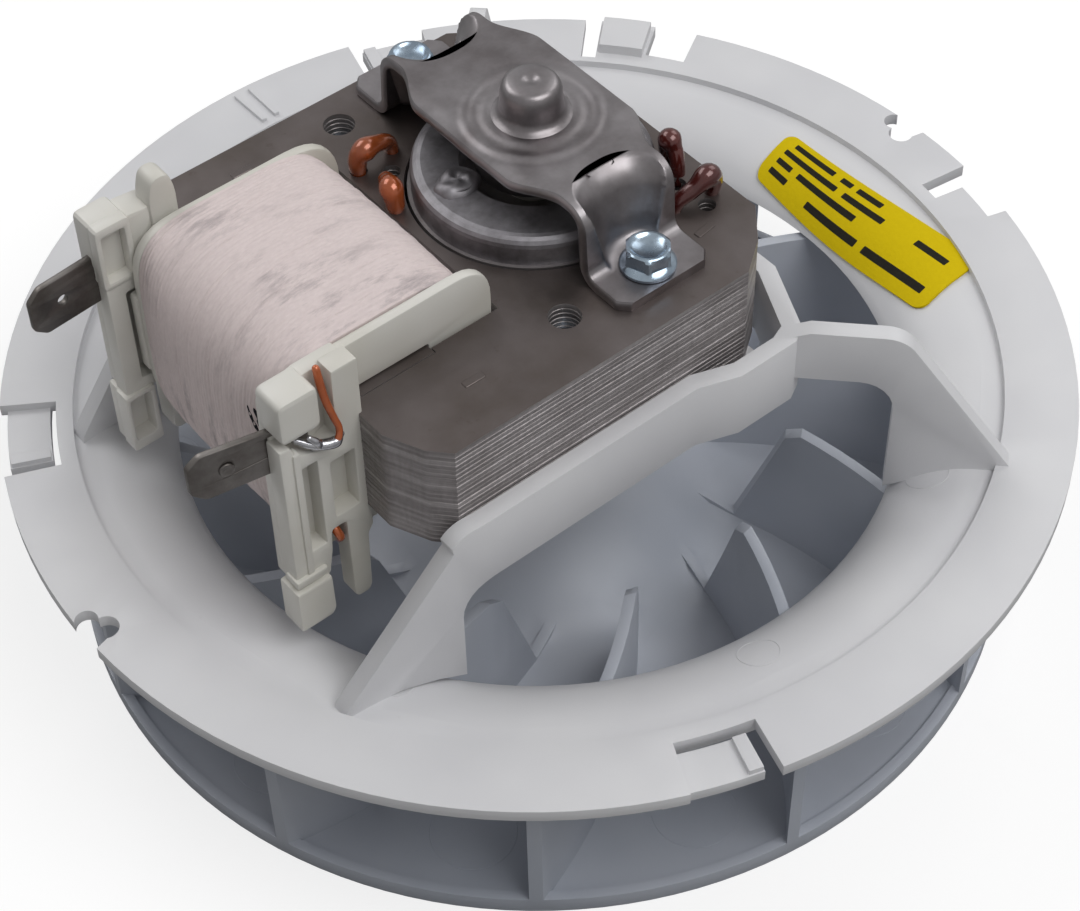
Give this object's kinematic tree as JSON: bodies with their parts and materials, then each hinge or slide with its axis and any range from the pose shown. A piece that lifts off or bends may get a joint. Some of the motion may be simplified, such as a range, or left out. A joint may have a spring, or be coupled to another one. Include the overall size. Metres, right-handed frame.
{
  "type": "appliance fan",
  "caption": "Shaded-pole motor in a moulded bell-mouth mounting ring, driving a backward-curved centrifugal cooling wheel under the ring.",
  "frame": {"origin": "on the motor's shaft, in the plane of the mounting ring's upper face", "axes": "+Z along the shaft from the impeller to the motor, +X from the coil to the motor's open end"},
  "size_m": [0.125, 0.125, 0.0706],
  "materials": {
    "ring_plastic": "off-white glass-filled moulding, fine satin grain",
    "impeller_plastic": "pale blue-grey moulding, satin",
    "bobbin_plastic": "warm white moulding, satin",
    "lamination_steel": "dull dark steel stampings, stacked edges showing fine lines",
    "enamelled_wire": "glossy amber enamelled copper wire",
    "cotton_tape": "off-white woven tape with grey smudges",
    "tinned_metal": "dull tin plating over brass",
    "plated_sheet": "zinc-plated pressed sheet, softly reflective",
    "sintered_bronze": "oil-soaked sintered bronze",
    "felt": "oil-soaked felt",
    "zinc_screws": "bright blue zinc plating",
    "copper": "lacquered copper, orange to maroon",
    "label_paper": "matt yellow paper, left blank",
    "ground_steel": "plain ground steel",
    "cast_aluminium": "dull die-cast aluminium"
  },
  "bodies": {
    "frame": {"mounting_ring": "ring_plastic", "stator_core": "lamination_steel", "limb_core": "lamination_steel", "bobbin": "bobbin_plastic", "coil_winding": "enamelled_wire", "coil_tape": "cotton_tape", "terminal_near": "tinned_metal", "terminal_far": "tinned_metal", "coil_lead_near": "enamelled_wire", "coil_lead_far": "enamelled_wire", "upper_bridge": "plated_sheet", "lower_bridge": "plated_sheet", "upper_bearing": "sintered_bronze", "lower_bearing": "sintered_bronze", "upper_felt": "felt", "lower_felt": "felt", "upper_retainer": "plated_sheet", "lower_retainer": "plated_sheet", "bridge_screws": "zinc_screws", "mounting_screws": "zinc_screws", "shading_ring_1": "copper", "shading_ring_2": "copper", "shading_ring_3": "copper", "shading_ring_4": "copper", "rating_label": "label_paper"},
    "rotor": {"shaft": "ground_steel", "rotor_core": "lamination_steel", "rotor_cage": "cast_aluminium", "thrust_spacers": "bobbin_plastic", "impeller": "impeller_plastic", "hub_clip": "ground_steel"}
  },
  "joints": [
    {"name": "rotor_spin", "type": "hinge", "parent": "frame", "child": "rotor", "pos_m": [0, 0, 0], "axis": [0, 0, 1], "continuous": true}
  ]
}
